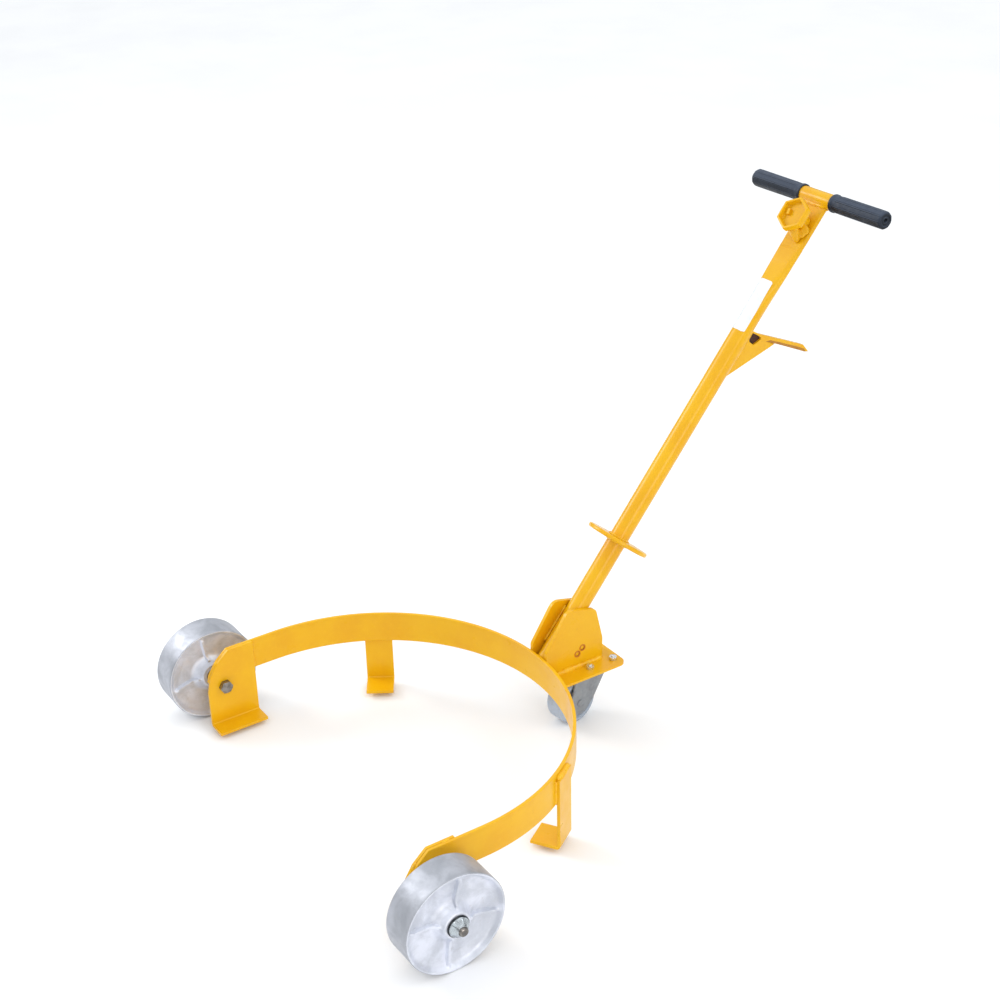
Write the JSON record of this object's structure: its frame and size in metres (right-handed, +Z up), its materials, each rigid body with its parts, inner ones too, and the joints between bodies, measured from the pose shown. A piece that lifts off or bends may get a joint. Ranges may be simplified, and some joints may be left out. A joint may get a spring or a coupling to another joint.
{
  "type": "drum dolly",
  "caption": "Low three-wheeled caddy with an open band round an upright steel drum, lifting lips, swivel caster, and a slanted T-handle with bung wrench and seal remover.",
  "frame": {"origin": "on the floor, under the middle of the object's box", "axes": "+X along the main wheels' axle, towards the right-hand wheel of a person who stands in the band's mouth and faces the handle; +Y from the drum towards the handle; +Z up"},
  "size_m": [0.806, 1.0175, 0.7708],
  "materials": {
    "yellow_paint": "semi-gloss safety yellow paint on mild steel, worn at the edges",
    "wheel_cast": "semi-steel casting in silver-grey paint",
    "caster_tread": "hard light grey polyolefin wheel",
    "caster_zinc": "dull zinc-plated pressed steel",
    "zinc_hardware": "bright zinc-plated steel",
    "bush_bronze": "oiled sintered bronze",
    "grip_rubber": "smooth black vinyl with a soft sheen",
    "label_film": "plain white vinyl sticker, blank"
  },
  "bodies": {
    "chassis": {"drum_band": "yellow_paint", "lift_strap_left": "yellow_paint", "lift_strap_right": "yellow_paint", "wheel_bracket_left": "yellow_paint", "wheel_bracket_right": "yellow_paint", "axle_bolt_left": "zinc_hardware", "axle_bolt_right": "zinc_hardware", "axle_spacer_left": "zinc_hardware", "axle_spacer_right": "zinc_hardware", "axle_washer_left": "zinc_hardware", "axle_washer_right": "zinc_hardware", "axle_nut_left": "zinc_hardware", "axle_nut_right": "zinc_hardware", "caster_mount_plate": "yellow_paint", "gusset_left": "yellow_paint", "gusset_right": "yellow_paint", "caster_top_plate": "caster_zinc", "caster_ball_race": "caster_zinc", "mount_bolt_1": "zinc_hardware", "mount_bolt_2": "zinc_hardware", "mount_bolt_3": "zinc_hardware", "mount_bolt_4": "zinc_hardware", "mount_nut_1": "zinc_hardware", "mount_nut_2": "zinc_hardware", "mount_nut_3": "zinc_hardware", "mount_nut_4": "zinc_hardware", "handle_tube": "yellow_paint", "handle_crossbar": "yellow_paint", "grip_left": "grip_rubber", "grip_right": "grip_rubber", "step_disc": "yellow_paint", "bung_wrench": "yellow_paint", "seal_remover": "yellow_paint", "blank_label": "label_film"},
    "wheel_left": {"wheel_left": "wheel_cast", "wheel_bush_left": "bush_bronze"},
    "wheel_right": {"wheel_right": "wheel_cast", "wheel_bush_right": "bush_bronze"},
    "caster_swivel": {"caster_fork": "caster_zinc", "caster_wheel_sleeve": "zinc_hardware", "caster_axle_rivet": "caster_zinc", "caster_king_pin": "zinc_hardware"},
    "caster_wheel": {"caster_wheel": "caster_tread"}
  },
  "joints": [
    {"name": "wheel_left_spin", "type": "hinge", "parent": "chassis", "child": "wheel_left", "pos_m": [-0.3581, -0.4325, 0.0762], "axis": [1, 0, 0], "continuous": true},
    {"name": "wheel_right_spin", "type": "hinge", "parent": "chassis", "child": "wheel_right", "pos_m": [0.3581, -0.4325, 0.0762], "axis": [1, 0, 0], "continuous": true},
    {"name": "caster_swivel_turn", "type": "hinge", "parent": "chassis", "child": "caster_swivel", "pos_m": [0, 0.0607, 0.09], "axis": [0, 0, 1], "continuous": true},
    {"name": "caster_wheel_spin", "type": "hinge", "parent": "caster_swivel", "child": "caster_wheel", "pos_m": [0.00515, 0.02406, 0.038], "axis": [0.9903, 0.1392, 0], "continuous": true}
  ]
}
